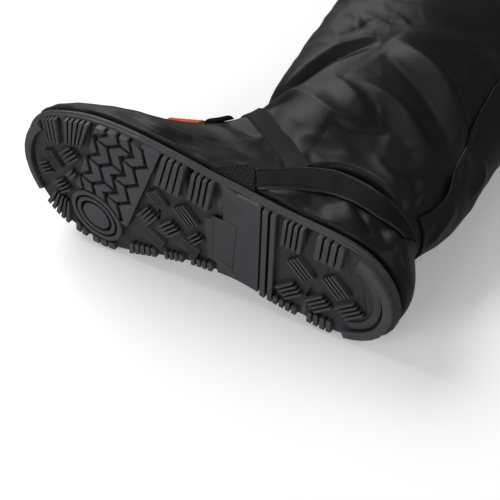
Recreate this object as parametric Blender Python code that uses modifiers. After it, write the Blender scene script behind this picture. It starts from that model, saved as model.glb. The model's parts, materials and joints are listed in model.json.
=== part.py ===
"""Left rain overshoe, lying on its inner side: a low rubber outsole with a lugged tread, and a
hollow coated-nylon upper with its shaft, heel strap, instep elastic and sewn-on panels.

The shoe is drawn standing, in its own frame: x runs from the heel to the toe, y to the outer
(lateral) side, z up from the ground. An empty then lays the whole shoe down on its inner side.
Plan lengths are in units of a drawing whose sole is 300 units long; UNIT turns them to metres.
"""

import math

import bmesh
import bpy
import numpy as np
from mathutils import Matrix, Vector

# Driving dimensions, in metres
SOLE_LENGTH = 0.317
WALL = 0.0016  # coated nylon with its lining
GAP = 0.0003  # between pieces that lie on each other

# The drawing: lengths below are in its units
DRAWING_LENGTH = 300.0
UNIT = SOLE_LENGTH / DRAWING_LENGTH
HALF = 44  # steps from the heel to the toe along one side of the sole
EDGE_POINTS = 2 * HALF

# Heights above the ground, in drawing units
LUG_ROOT = 3.8
WAIST_PLATE = 1.4
HEEL_LEDGE = 1.8
SOLE_TOP = 8.6
BED = 7.0
SINK = 1.0  # how far a lug reaches into the sole, so that they join
TOE_SPRING = 6.0
SPRING_START = 254.0
TOE_TIP = 308.0
ARCH_RISE = 0.5
ARCH = (104.0, 147.0)

# The tread's edge: x, y. It starts at the heel and passes the outer side first.
EDGE = [
    (6.8, 6.0),
    (13.7, 32.5),
    (36.2, 47.5),
    (85.0, 47.0),
    (130.0, 46.6),
    (170.0, 48.0),
    (210.0, 47.5),
    (245.0, 41.0),
    (277.0, 25.0),
    (297.0, 3.5),
    (TOE_TIP, -27.0),
    (302.0, -52.0),
    (281.0, -70.0),
    (250.0, -77.0),
    (225.0, -73.0),
    (195.0, -59.0),
    (160.0, -44.5),
    (125.0, -38.0),
    (85.0, -39.0),
    (44.7, -37.0),
    (17.7, -20.5),
]
EDGE_TOE = 10

# The sole's side, from the tread up and over to the bed: step out from the edge, height
SIDE_STEPS = [
    (0.0, LUG_ROOT),
    (0.9, 4.6),
    (0.9, 5.4),
    (2.0, 6.2),
    (2.0, 8.0),
    (1.3, SOLE_TOP),
    (-5.2, SOLE_TOP),
    (-6.2, BED),
]

# Ribbed lugs inside the tread: name, x, y, angle of the ribs, their length, lug width, ribs
LUGS = [
    ("toe_1", 276.7, -13.0, 53, 15.0, 9.2, 4),
    ("toe_2", 259.5, 1.0, -49, 17.0, 10.5, 4),
    ("toe_3", 286.0, -27.0, -40, 13.0, 9.0, 4),
    ("toe_4", 271.3, -35.5, -45, 14.0, 10.0, 4),
    ("toe_5", 260.5, -17.5, -55, 11.0, 5.0, 2),
    ("mid_1", 185.0, 4.0, 50, 14.0, 10.0, 4),
    ("mid_2", 162.0, 2.0, 48, 17.0, 12.0, 4),
    ("mid_3", 195.5, -18.5, -55, 17.0, 10.0, 4),
    ("mid_4", 177.5, -20.0, -47, 17.0, 10.5, 4),
    ("mid_5", 191.5, -38.5, 25, 16.0, 10.0, 4),
    ("mid_6", 162.0, -28.0, 22, 16.0, 9.5, 4),
    ("mid_7", 156.0, -16.0, -50, 13.0, 7.0, 3),
    ("heel_1", 73.2, 9.0, 45, 17.5, 12.5, 4),
    ("heel_2", 47.2, 9.0, 45, 17.5, 12.5, 4),
    ("heel_3", 82.5, -18.0, -45, 18.5, 11.0, 4),
    ("heel_4", 60.4, -16.0, -45, 18.5, 11.0, 4),
    ("heel_5", 37.3, -7.0, -45, 18.5, 11.0, 4),
]
SIPE = 1.5  # the slot between two ribs

# Ribbed lugs at the edge, each a fan of ribs: name, ribs, then the line of its first rib and of
# its last, each from the inside to past the edge
FANS = [
    ("toe_outer_1", 4, (279.0, 4.0), (281.0, 32.0), (265.5, 8.0), (265.5, 42.0)),
    ("toe_outer_2", 5, (260.5, 11.5), (257.0, 50.0), (245.5, 17.0), (231.0, 54.0)),
    ("mid_outer_1", 4, (186.3, 18.0), (174.7, 54.0), (165.5, 17.0), (156.2, 54.0)),
    ("mid_outer_2", 4, (159.8, 20.0), (152.0, 54.0), (142.2, 18.0), (134.7, 54.0)),
    ("heel_outer_1", 4, (87.8, 23.0), (83.7, 54.0), (71.8, 23.0), (67.7, 54.0)),
    ("heel_outer_2", 4, (63.1, 26.0), (59.7, 54.0), (42.5, 28.0), (38.7, 54.0)),
    ("heel_inner_1", 4, (94.4, -31.0), (96.4, -46.0), (75.4, -31.0), (76.4, -46.0)),
    ("heel_inner_2", 4, (68.3, -29.0), (69.4, -46.0), (49.1, -26.5), (49.4, -46.0)),
    ("mid_inner_1", 4, (160.5, -37.5), (161.5, -52.0), (142.5, -31.5), (142.0, -47.0)),
    ("mid_inner_2", 4, (183.8, -45.0), (182.8, -60.0), (166.8, -39.5), (165.8, -54.0)),
    ("mid_inner_3", 5, (214.0, -57.0), (216.0, -74.0), (191.0, -49.0), (188.5, -64.0)),
    ("ball_inner_1", 2, (262.5, -64.5), (265.0, -84.0), (252.5, -70.5), (253.5, -84.0)),
    ("ball_inner_2", 3, (248.5, -70.8), (249.0, -84.0), (227.5, -68.0), (226.5, -84.0)),
    ("toe_inner", 5, (279.0, -45.0), (292.0, -66.0), (265.0, -50.0), (270.0, -78.0)),
]

# Plates and bars: name, height of the top, corners
PLATES = [
    ("bar_front", 0.0, [(99.5, 54), (106.2, -46), (102.2, -46), (95.5, 54)]),
    ("bar_back", 0.0, [(93.5, 54), (100.2, -46), (96.7, -46), (90.0, 54)]),
    (
        "waist",
        WAIST_PLATE,
        [(130.5, 52), (132.5, 16.5), (147, 10), (147, -28), (140, -30), (140, -46), (108.4, -46), (101.8, 52)],
    ),
]

# The zigzag plate under the ball of the foot and its grooves
BALL_PLATE = [(226.5, 55), (256.5, -24), (242, -34), (214.5, -41), (176, 55)]
ZIGZAG_CORNER = np.array([233.0, 34.5])
ZIGZAG_PERIOD = np.array([9.3, -22.5])
ZIGZAG_ROW = np.array([-10.3, -3.7])
ZIGZAG_LEG = np.array([-2.0, -14.5])
ZIGZAG_GROOVE = 3.0

# The pivot under the big toe's joint: ring radii, outer and inner
PIVOT = (242.0, -47.0)
PIVOT_RINGS = [(21.8, 18.2), (16.4, 13.4), (11.2, 0.0)]
PIVOT_CLEAR = 23.6

# Raised rims at the tread's edge: name, top, x of the outer-side end, x of the inner-side end,
# depth of the outer and inner line from the edge
RIMS = [
    ("heel_rim", 0.0, 33.5, 43.0, 0.4, 6.6),
    ("heel_ledge", HEEL_LEDGE, 28.0, 32.0, 8.4, 13.6),
    ("toe_rim", 0.0, 287.0, 296.0, 0.4, 6.6),
]

# The upper, one row a section. Front and back are where the section meets the shoe's middle
# plane; front_share and back_share are its width as a share of the sole's; spring is how much
# of the toe spring it takes; round blends the sole's shape (0) into a round shaft (1) whose
# half width is half.
#   name, front_x, front_z, back_x, back_z, front_share, back_share, spring, round, half
UPPER = [
    ("feather", 305.5, 8.9, 9.3, 8.9, 0.955, 0.955, 1.0, 0.0, 0.0),
    ("welt", 309.5, 12.5, 5.5, 12.5, 1.00, 1.00, 1.0, 0.0, 0.0),
    ("bulge", 313.5, 17.5, 4.0, 18.0, 0.99, 1.02, 0.8, 0.0, 0.0),
    ("side", 311.0, 22.5, 5.5, 25.0, 0.94, 1.02, 0.5, 0.0, 0.0),
    ("toe_turn", 304.0, 26.5, 9.5, 32.5, 0.84, 0.98, 0.2, 0.0, 0.0),
    ("toe_top", 294.0, 30.5, 15.0, 40.0, 0.72, 0.94, 0.0, 0.0, 0.0),
    ("toe_crest", 281.0, 35.5, 20.0, 47.0, 0.60, 0.90, 0.0, 0.0, 0.0),
    ("toe_end", 264.0, 41.5, 23.0, 53.5, 0.48, 0.87, 0.0, 0.0, 0.0),
    ("ball", 246.0, 49.0, 24.5, 60.0, 0.42, 0.85, 0.0, 0.0, 0.0),
    ("vamp", 227.0, 57.0, 24.5, 66.0, 0.36, 0.84, 0.0, 0.0, 0.0),
    ("waist", 209.0, 65.5, 23.0, 72.0, 0.38, 0.84, 0.0, 0.0, 0.0),
    ("instep", 193.0, 74.5, 20.5, 79.0, 0.44, 0.84, 0.0, 0.12, 37.0),
    ("throat", 181.5, 83.0, 18.0, 87.0, 0.52, 0.86, 0.0, 0.32, 39.0),
    ("ankle", 175.5, 94.5, 16.5, 97.0, 0.62, 0.88, 0.0, 0.6, 41.0),
    ("shaft_foot", 174.5, 108.0, 17.0, 110.0, 0.7, 0.9, 0.0, 0.86, 43.0),
    ("shaft_1", 177.0, 126.0, 19.0, 127.0, 0.7, 0.9, 0.0, 1.0, 44.5),
    ("shaft_2", 181.0, 151.0, 21.5, 151.0, 0.7, 0.9, 0.0, 1.0, 46.0),
    ("shaft_3", 186.0, 186.0, 24.0, 186.0, 0.7, 0.9, 0.0, 1.0, 47.5),
    ("shaft_4", 191.0, 230.0, 25.5, 230.0, 0.7, 0.9, 0.0, 1.0, 49.0),
    ("shaft_5", 195.5, 290.0, 26.0, 290.0, 0.7, 0.9, 0.0, 1.0, 50.5),
    ("shaft_6", 198.5, 345.0, 25.5, 345.0, 0.7, 0.9, 0.0, 1.0, 51.5),
    ("collar", 200.0, 378.0, 25.0, 378.0, 0.7, 0.9, 0.0, 1.0, 52.0),
]
MIDDLE_HEEL = (49.0, 6.0)  # the shoe's middle line in plan starts here
MIDDLE_SLOPE = -0.11
SHAFT_MIDDLE = 5.0

# Sewn-on pieces: name, thickness in metres, the direction its outline is seen along, how far
# its cutter reaches along that direction, and its outline's corners in the other two
OVERLAYS = [
    (
        "heel_strap",
        0.0022,
        "y",
        (12.0, 70.0),
        [(122.6, 24.5), (112.5, 36), (105, 45.5), (89, 53.4), (76, 55.6), (60, 54.4), (45, 52), (24, 52.5),
         (24, 39), (38, 35.4), (52, 36), (66, 36.4), (77, 34), (90, 26), (100.5, 19.3), (112, 13)],
    ),
    (
        "hook_patch",
        0.0018,
        "y",
        (12.0, 70.0),
        [(148, 10.5), (138, 16), (127.5, 26), (124.2, 24.2), (113.6, 12.4), (115.5, 10.5)],
    ),
    (
        "instep_elastic",
        0.0014,
        "y",
        (-70.0, 70.0),
        [(110.5, 40.8), (132, 53.4), (159, 69.4), (192, 90), (181, 98), (145, 76.3), (122, 63.4), (98.5, 52.3)],
    ),
    (
        "back_flap",
        0.0012,
        "x",
        (-30.0, 90.0),
        [(-15, 62), (-17, 85), (-20, 105), (-26, 177), (-29, 372),
         (39, 372), (36, 177), (33, 138), (30, 105), (26.5, 85), (25, 73), (27, 62)],
    ),
    (
        "vamp_panel",
        0.0010,
        "z",
        (34.0, 95.0),
        [(204, 34), (186.5, 32), (194, 5), (194.5, -24), (199, -30), (214, -31), (221, -25), (218, 8)],
    ),
    (
        "vamp_tab",
        0.0022,
        "z",
        (45.0, 95.0),
        [(184.5, 30), (176, 26), (178.5, 15), (188, 19)],
    ),
]

# Materials: colour, roughness
RUBBER = ((0.030, 0.030, 0.032, 1.0), 0.62)
NYLON = ((0.012, 0.012, 0.014, 1.0), 0.45)
WEBBING = ((0.014, 0.014, 0.015, 1.0), 0.70)
TRIM = ((0.75, 0.20, 0.03, 1.0), 0.50)
FINISHES = {
    "outsole": RUBBER,
    "upper": NYLON,
    "heel_strap": NYLON,
    "hook_patch": WEBBING,
    "instep_elastic": WEBBING,
    "back_flap": NYLON,
    "vamp_panel": TRIM,
    "vamp_tab": WEBBING,
}


def clear_scene():
    for obj in list(bpy.data.objects):
        bpy.data.objects.remove(obj, do_unlink=True)


def new_collection(name):
    made = bpy.data.collections.new(name)
    bpy.context.scene.collection.children.link(made)
    return made


def new_object(name, bm, collection):
    """A mesh object from a bmesh in drawing units, which it scales to metres and frees."""
    bmesh.ops.recalc_face_normals(bm, faces=bm.faces)
    bmesh.ops.scale(bm, vec=(UNIT, UNIT, UNIT), verts=bm.verts)
    mesh = bpy.data.meshes.new(name)
    bm.to_mesh(mesh)
    bm.free()
    made = bpy.data.objects.new(name, mesh)
    collection.objects.link(made)
    return made


def as_cutter(obj):
    obj.hide_render = True
    obj.display_type = "WIRE"
    return obj


def cut(obj, operation, other, self_crossing=False):
    made = obj.modifiers.new(operation.lower() + "_" + other.name, "BOOLEAN")
    made.operation = operation
    made.object = other
    made.solver = "EXACT"
    made.use_self = self_crossing


def baked(obj, name, collection):
    """A new object that holds what the modifiers of this one make. The old one is removed."""
    bpy.context.view_layer.update()
    graph = bpy.context.evaluated_depsgraph_get()
    mesh = bpy.data.meshes.new_from_object(obj.evaluated_get(graph))
    bpy.data.objects.remove(obj, do_unlink=True)
    made = bpy.data.objects.new(name, mesh)
    collection.objects.link(made)
    return made


def finish(obj):
    colour, roughness = FINISHES[obj.name]
    made = bpy.data.materials.new(obj.name)
    made.use_nodes = True
    shader = made.node_tree.nodes["Principled BSDF"]
    shader.inputs["Base Color"].default_value = colour
    shader.inputs["Roughness"].default_value = roughness
    obj.data.materials.clear()
    obj.data.materials.append(made)


def lift(x):
    """Height that the toe spring and the arch add at x."""
    toe = np.clip((x - SPRING_START) / (TOE_TIP - SPRING_START), 0.0, None)
    waist = np.clip((x - ARCH[0]) / (ARCH[1] - ARCH[0]), 0.0, 1.0)
    return TOE_SPRING * toe**2 + ARCH_RISE * np.sin(math.pi * waist) ** 2


def smooth_closed(corners, steps=24):
    """A closed Catmull-Rom curve through the corners."""
    here = np.asarray(corners, float)
    before = np.roll(here, 1, axis=0)
    after = np.roll(here, -1, axis=0)
    later = np.roll(here, -2, axis=0)
    curve = []
    for step in range(steps):
        s = step / steps
        curve.append(
            0.5
            * (
                2 * here
                + (after - before) * s
                + (2 * before - 5 * here + 4 * after - later) * s**2
                + (3 * here - before - 3 * after + later) * s**3
            )
        )
    return np.stack(curve, axis=1).reshape(-1, 2)


def evenly(points, steps):
    """The same line as so many even steps."""
    run = np.concatenate([[0.0], np.cumsum(np.linalg.norm(np.diff(points, axis=0), axis=1))])
    at = np.linspace(0.0, run[-1], steps + 1)
    return np.stack([np.interp(at, run, points[:, axis]) for axis in range(points.shape[1])], axis=1)


def tread_edge():
    """The tread's edge: heel first, the outer side to the toe, then the inner side back."""
    steps = 24
    curve = smooth_closed(EDGE, steps)
    toe = EDGE_TOE * steps
    outer = evenly(curve[: toe + 1], HALF)
    inner = evenly(np.vstack([curve[toe:], curve[:1]]), HALF)
    return np.vstack([outer[:-1], inner[:-1]])


def edge_stepped(edge, out):
    """The edge moved out by this much, square to itself."""
    along = np.roll(edge, -1, axis=0) - np.roll(edge, 1, axis=0)
    along /= np.linalg.norm(along, axis=1, keepdims=True)
    return edge + out * np.stack([-along[:, 1], along[:, 0]], axis=1)


def ladder(bm, ring, down):
    """Closes a ring with rungs from its outer side to its inner side."""
    count = len(ring)
    half = count // 2
    faces = [(0, 1, count - 1), (half - 1, half, half + 1)]
    faces += [(i, i + 1, count - i - 1, count - i) for i in range(1, half - 1)]
    for face in faces:
        corners = [ring[i] for i in face]
        bm.faces.new(corners if down else corners[::-1])


def loft(rings, closed):
    """Joins rings of points, each above the last, and closes both ends if asked."""
    bm = bmesh.new()
    rows = [[bm.verts.new(point) for point in ring] for ring in rings]
    count = len(rows[0])
    for low, high in zip(rows, rows[1:]):
        for i in range(count):
            j = (i + 1) % count
            bm.faces.new((low[i], high[i], high[j]))
            bm.faces.new((low[i], high[j], low[j]))
    if closed:
        ladder(bm, rows[0], True)
        ladder(bm, rows[-1], False)
    return bm


def add_prism(bm, corners, low, high, axis="z"):
    """Extrudes a flat outline along an axis. Corners are in the other two axes, in order."""
    place = {
        "x": lambda a, b, level: (level, a, b),
        "y": lambda a, b, level: (a, level, b),
        "z": lambda a, b, level: (a, b, level),
    }[axis]
    base = bm.faces.new([bm.verts.new(place(a, b, low)) for a, b in corners])
    raised = bmesh.ops.extrude_face_region(bm, geom=[base])
    move = Vector(place(0.0, 0.0, high - low))
    bmesh.ops.translate(
        bm, vec=move, verts=[v for v in raised["geom"] if isinstance(v, bmesh.types.BMVert)]
    )


def add_ring(bm, centre, outer, inner, low, high, steps=28):
    """A flat ring, or a disc where the inner radius is 0."""
    if inner == 0.0:
        middle = Matrix.Translation((centre[0], centre[1], (low + high) / 2))
        bmesh.ops.create_cone(
            bm, cap_ends=True, segments=steps, radius1=outer, radius2=outer,
            depth=high - low, matrix=middle,
        )
        return
    section = [(inner, low), (outer, low), (outer, high), (inner, high)]
    corners = [bm.verts.new((centre[0] + r, centre[1], z)) for r, z in section]
    edges = [bm.edges.new((corners[i], corners[(i + 1) % 4])) for i in range(4)]
    bmesh.ops.spin(
        bm, geom=corners + edges, cent=(centre[0], centre[1], 0.0), axis=(0.0, 0.0, 1.0),
        angle=2 * math.pi, steps=steps, use_merge=True,
    )


def add_lug(bm, x, y, angle, length, width, ribs, low, high):
    """A block of straight ribs side by side."""
    turn = Matrix.Translation((x, y, 0.0)) @ Matrix.Rotation(math.radians(angle), 4, "Z")
    pitch = (width + SIPE) / ribs
    for rib in range(ribs):
        across = -width / 2 + (rib + 0.5) * pitch - SIPE / 2
        size = Matrix.Diagonal((length, pitch - SIPE, high - low, 1.0))
        place = Matrix.Translation((0.0, across, (low + high) / 2))
        bmesh.ops.create_cube(bm, size=1.0, matrix=turn @ place @ size)


def add_fan(bm, ribs, first_in, first_out, last_in, last_out, low, high):
    """A row of ribs at the edge, which spread from the first line to the last."""
    inside = np.linspace(first_in, last_in, 2)
    outside = np.linspace(first_out, last_out, 2)
    slot_in = SIPE / max(np.linalg.norm(inside[1] - inside[0]), SIPE)
    slot_out = SIPE / max(np.linalg.norm(outside[1] - outside[0]), SIPE)

    def at(line, share):
        return tuple(line[0] + (line[1] - line[0]) * share)

    for rib in range(ribs):
        start = rib / ribs
        end = (rib + 1) / ribs
        near = [at(inside, start), at(inside, end - slot_in)]
        far = [at(outside, end - slot_out), at(outside, start)]
        add_prism(bm, near + far, low, high)


def nearest_index(edge, x, outer_side):
    """The edge point nearest to x on one side of the sole."""
    side = range(0, HALF + 1) if outer_side else range(HALF, EDGE_POINTS)
    return min(side, key=lambda i: abs(edge[i][0] - x))


def add_rim(bm, edge, outer_x, inner_x, outer_depth, inner_depth, low, high, at_heel):
    """A band that follows the tread's edge round the heel or the toe."""
    start = nearest_index(edge, outer_x, True)
    end = nearest_index(edge, inner_x, False)
    if at_heel:
        order = [i % EDGE_POINTS for i in range(end, EDGE_POINTS + start + 1)]
    else:
        order = list(range(start, end + 1))
    outside = edge_stepped(edge, -outer_depth)[order]
    inside = edge_stepped(edge, -inner_depth)[order]
    add_prism(bm, list(map(tuple, outside)) + list(map(tuple, inside[::-1])), low, high)


def add_groove(bm, start, end, width, low, high):
    along = end - start
    along = along / np.linalg.norm(along)
    side = np.array([-along[1], along[0]]) * width / 2
    reach = along * width / 2
    corners = [start - reach + side, start - reach - side, end + reach - side, end + reach + side]
    add_prism(bm, list(map(tuple, corners)), low, high)


def ball_plate(cutters):
    """The plate under the ball of the foot, cut by four zigzag grooves and the links between."""
    root = LUG_ROOT + SINK
    bm = bmesh.new()
    add_prism(bm, BALL_PLATE, 0.0, root)
    plate = new_object("ball_plate", bm, cutters)

    bm = bmesh.new()
    add_ring(bm, PIVOT, PIVOT_CLEAR, 0.0, -2.0, root + 2.0)
    pivot_clear = as_cutter(new_object("pivot_clear", bm, cutters))

    bm = bmesh.new()
    for row in range(4):
        for k in range(-1, 4):
            corner = ZIGZAG_CORNER + row * ZIGZAG_ROW + k * ZIGZAG_PERIOD
            inner = corner + ZIGZAG_LEG
            add_groove(bm, corner, inner, ZIGZAG_GROOVE, -1.0 - 0.01 * row, root + 1.0)
            add_groove(bm, inner, corner + ZIGZAG_PERIOD, ZIGZAG_GROOVE, -1.3 - 0.01 * row, root + 1.3)
            if row < 3:
                link = inner if row == 1 else corner
                add_groove(bm, link, link + ZIGZAG_ROW, ZIGZAG_GROOVE, -1.6 - 0.01 * row, root + 1.6)
    grooves = as_cutter(new_object("zigzag_grooves", bm, cutters))
    cut(plate, "DIFFERENCE", pivot_clear)
    cut(plate, "DIFFERENCE", grooves, self_crossing=True)
    made = baked(plate, "ball_blocks", cutters)
    for helper in (pivot_clear, grooves):
        bpy.data.objects.remove(helper, do_unlink=True)
    return made


def tread(edge, cutters):
    """Every lug, bar, plate and rim of the tread, trimmed to the sole's edge."""
    root = LUG_ROOT + SINK
    bm = bmesh.new()
    for _, x, y, angle, length, width, ribs in LUGS:
        add_lug(bm, x, y, angle, length, width, ribs, 0.0, root)
    for _, ribs, first_in, first_out, last_in, last_out in FANS:
        add_fan(bm, ribs, first_in, first_out, last_in, last_out, 0.0, root)
    for _, top, corners in PLATES:
        add_prism(bm, corners, top, root)
    for name, top, outer_x, inner_x, outer_depth, inner_depth in RIMS:
        at_heel = name.startswith("heel")
        add_rim(bm, edge, outer_x, inner_x, outer_depth, inner_depth, top, root, at_heel)
    for outer, inner in PIVOT_RINGS:
        add_ring(bm, PIVOT, outer, inner, 0.0, root)
    lugs = new_object("lugs", bm, cutters)

    blocks = ball_plate(cutters)
    bm = bmesh.new()
    bm.from_mesh(lugs.data)
    bm.from_mesh(blocks.data)
    bmesh.ops.scale(bm, vec=(1 / UNIT,) * 3, verts=bm.verts)
    for helper in (lugs, blocks):
        bpy.data.objects.remove(helper, do_unlink=True)
    flat = new_object("tread_flat", bm, cutters)

    limit_edge = edge_stepped(edge, -0.4)
    bm = bmesh.new()
    add_prism(bm, list(map(tuple, limit_edge)), -4.0, root + 4.0)
    limit = as_cutter(new_object("tread_limit", bm, cutters))
    cut(flat, "INTERSECT", limit)
    made = baked(flat, "tread", cutters)
    bpy.data.objects.remove(limit, do_unlink=True)
    for vertex in made.data.vertices:
        vertex.co.z += UNIT * float(lift(vertex.co.x / UNIT))
    return as_cutter(made)


def outsole(edge, parts, cutters):
    """The moulded sole: a stepped side, a sunken bed, toe spring and arch, and the tread."""
    rings = []
    for out, height in SIDE_STEPS:
        line = edge_stepped(edge, out)
        rings.append(np.column_stack([line, height + lift(line[:, 0])]))
    made = new_object("outsole", loft(rings, closed=True), parts)
    cut(made, "UNION", tread(edge, cutters))
    return made


def middle_of(x):
    """The shoe's middle line in plan, which turns inwards towards the toe."""
    return MIDDLE_HEEL[1] + MIDDLE_SLOPE * np.clip(x - MIDDLE_HEEL[0], 0.0, None)


def upper_section(edge, row):
    """One closed section of the upper's outside."""
    _, front_x, front_z, back_x, back_z, front_share, back_share, spring, round_, half = row
    share_along = (edge[:, 0] - EDGE[0][0]) / (TOE_TIP - EDGE[0][0])
    x = back_x + (front_x - back_x) * share_along
    width = back_share + (front_share - back_share) * share_along**2
    y = middle_of(x) + width * (edge[:, 1] - middle_of(edge[:, 0]))
    turn = math.pi * (1.0 - 2.0 * np.arange(len(edge)) / len(edge))
    shaft_x = (front_x + back_x) / 2 + (front_x - back_x) / 2 * np.cos(turn)
    shaft_y = SHAFT_MIDDLE + half * np.sin(turn)
    x = x * (1 - round_) + shaft_x * round_
    y = y * (1 - round_) + shaft_y * round_
    along = (x - back_x) / (front_x - back_x)
    z = back_z + (front_z - back_z) * along + spring * lift(x)
    return np.column_stack([x, y, z])


def upper_sections(edge, out):
    """All sections of the upper, moved out from its outside by this much."""
    grid = np.array([upper_section(edge, row) for row in UPPER])
    around = np.roll(grid, -1, axis=1) - np.roll(grid, 1, axis=1)
    rising = np.gradient(grid, axis=0)
    normal = np.cross(rising, around)
    normal /= np.linalg.norm(normal, axis=2, keepdims=True)
    return grid + out * normal


def upper(edge, parts):
    """The nylon foot and shaft: one wall, open at the collar and over the sole."""
    made = new_object("upper", loft(upper_sections(edge, 0.0), closed=False), parts)
    wall = made.modifiers.new("wall", "SOLIDIFY")
    wall.thickness = WALL
    wall.offset = -1.0
    wall.use_even_offset = True
    return made


def overlay(edge, parts, cutters, core, name, thickness, axis, reach, corners):
    """A sewn-on piece: what an outline cuts from the skin between two forms of the upper."""
    form = upper_sections(edge, (GAP + thickness) / UNIT)
    made = new_object(name, loft(form, closed=True), parts)
    bm = bmesh.new()
    add_prism(bm, corners, reach[0], reach[1], axis)
    outline = as_cutter(new_object(name + "_outline", bm, cutters))
    cut(made, "INTERSECT", outline)
    cut(made, "DIFFERENCE", core)
    return made


def solid_points(obj):
    """The object's triangles as the viewport shows them, in the shoe's own frame."""
    graph = bpy.context.evaluated_depsgraph_get()
    evaluated = obj.evaluated_get(graph)
    mesh = evaluated.to_mesh()
    mesh.calc_loop_triangles()
    points = np.array([vertex.co[:] for vertex in mesh.vertices])
    faces = np.array([triangle.vertices[:] for triangle in mesh.loop_triangles])
    evaluated.to_mesh_clear()
    return points[faces]


def lying_matrix(objects):
    """The shoe's rest: the side of its hull, inner side down, that its weight falls on."""
    bpy.context.view_layer.update()
    triangles = np.concatenate([solid_points(obj) for obj in objects])
    volumes = np.linalg.det(triangles) / 6
    weight = (triangles.mean(axis=1) * 0.75 * volumes[:, None]).sum(axis=0) / volumes.sum()
    bm = bmesh.new()
    for point in np.unique(triangles.reshape(-1, 3), axis=0):
        bm.verts.new(point)
    bmesh.ops.convex_hull(bm, input=bm.verts)
    inward = Vector((0.0, -1.0, 0.0))
    best = None
    for face in bm.faces:
        normal = face.normal if face.normal.dot(face.calc_center_median() - Vector(weight)) > 0 else -face.normal
        if normal.dot(inward) < 0.9:
            continue
        height = normal.dot(face.verts[0].co - Vector(weight))
        foot = Vector(weight) + normal * height
        corners = [vertex.co for vertex in face.verts]
        sides = [
            (corners[(i + 1) % 3] - corners[i]).cross(foot - corners[i]).dot(normal) for i in range(3)
        ]
        if min(sides) * max(sides) >= 0 and (best is None or height < best[0]):
            best = (height, normal.copy())
    bm.free()
    up = -best[1]
    across = -(Vector((1.0, 0.0, 0.0)) - up * up.x).normalized()
    turn = Matrix((across, up.cross(across), up))
    laid = triangles.reshape(-1, 3) @ np.array(turn).T
    low = laid.min(axis=0)
    high = laid.max(axis=0)
    middle = (low + high) / 2
    return Matrix.Translation((-middle[0], -middle[1], -low[2])) @ turn.to_4x4()


def main():
    clear_scene()
    parts = new_collection("rain_overshoe")
    cutters = new_collection("overshoe_cutters")
    edge = tread_edge()
    wide_edge = edge[::2]
    made = [outsole(edge, parts, cutters), upper(wide_edge, parts)]
    core_form = upper_sections(wide_edge, GAP / UNIT)
    core = as_cutter(new_object("upper_core", loft(core_form, closed=True), cutters))
    for row in OVERLAYS:
        made.append(overlay(wide_edge, parts, cutters, core, *row))
    for obj in made:
        finish(obj)

    rest = bpy.data.objects.new("overshoe_lying", None)
    parts.objects.link(rest)
    rest_matrix = lying_matrix(made)
    for obj in list(parts.objects) + list(cutters.objects):
        if obj is not rest:
            obj.parent = rest
    rest.matrix_world = rest_matrix


main()
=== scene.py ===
import json
import math

import bmesh
import bpy
import numpy as np
from mathutils import Matrix, Vector, noise
from mathutils.bvhtree import BVHTree


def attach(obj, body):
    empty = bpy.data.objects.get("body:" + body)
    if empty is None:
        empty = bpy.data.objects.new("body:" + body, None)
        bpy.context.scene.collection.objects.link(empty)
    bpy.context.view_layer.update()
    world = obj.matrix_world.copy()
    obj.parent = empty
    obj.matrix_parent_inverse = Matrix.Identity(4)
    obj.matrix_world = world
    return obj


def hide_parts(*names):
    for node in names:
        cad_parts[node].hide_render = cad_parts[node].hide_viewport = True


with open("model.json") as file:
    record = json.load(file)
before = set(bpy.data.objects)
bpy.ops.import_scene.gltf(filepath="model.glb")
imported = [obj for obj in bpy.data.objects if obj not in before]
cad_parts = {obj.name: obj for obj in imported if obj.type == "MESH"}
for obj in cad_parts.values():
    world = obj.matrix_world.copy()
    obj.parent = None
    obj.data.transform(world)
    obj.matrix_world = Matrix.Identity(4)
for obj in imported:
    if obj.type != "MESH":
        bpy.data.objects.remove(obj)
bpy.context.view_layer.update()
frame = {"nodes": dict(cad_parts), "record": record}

# The overshoe lies on its inner side. Two flat spots under its sole give its own axes back:
# x from heel to toe, y to the outer side, z from the ground to the collar. Its pieces are drawn
# in units of which the tread is 300 long; the mould's rounding, grain and scene are in metres.
TREAD_LONG = 0.317
TREAD_DRAWN = 300
UNIT = TREAD_LONG / TREAD_DRAWN
BALL = np.array([242.0, -47.0, 0.0])
HEEL_BAR = np.array([99.23, 18.28, 0.0])
rests = {mount["name"]: mount for mount in frame["record"]["mounts"]}


def axes_through(start, end, up):
    """Axes of which the first runs from start to end and the third is up."""
    along = (end - start) / np.linalg.norm(end - start)
    return np.stack([along, np.cross(up, along), up], axis=1)


ball_place = np.array(rests["ball"]["pos_m"])
heel_place = np.array(rests["heel_bar"]["pos_m"])
shoe_up = -np.array(rests["ball"]["axis"])
drawing_axes = axes_through(BALL, HEEL_BAR, np.array([0.0, 0.0, 1.0]))
turn = axes_through(ball_place, heel_place, shoe_up) @ drawing_axes.T
shift = ball_place - turn @ (BALL * UNIT)


def placed(points):
    """Points of the drawing, in metres, where the shoe lies."""
    return np.asarray(points, float) * UNIT @ turn.T + shift


def drawn(points):
    """Places in metres, as points of the drawing."""
    return (np.asarray(points, float) - shift) @ turn / UNIT


# The outsole is one moulding of black rubber: lugs, bars, pivot rings and a stepped side.
# Its edges are a little round from the mould, and its skin is matte with a fine grain. Its
#  colour holds painted shade: the upper side is darkened for the shadow under the cloth, the tread's base
#      is darkened between the lugs, and the narrow slots are darkened where ambient occlusion finds them
#      shut in.
WELD = 2e-6
MOULD_ROUND = 0.00035
MOULD_STEPS = 2
SHARP_EDGE = math.radians(32)
RUBBER_COLOUR = (0.0432, 0.0462, 0.0528, 1.0)
RUBBER_DULL = (0.0355, 0.0382, 0.0440, 1.0)
RUBBER_BRIGHT = (0.0508, 0.0545, 0.0615, 1.0)
# painted shade: the tread's base, set back between the lugs, is darkened
TREAD_BASE_PAINTED_SHADE = (0.0232, 0.0248, 0.0287, 1.0)
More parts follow.
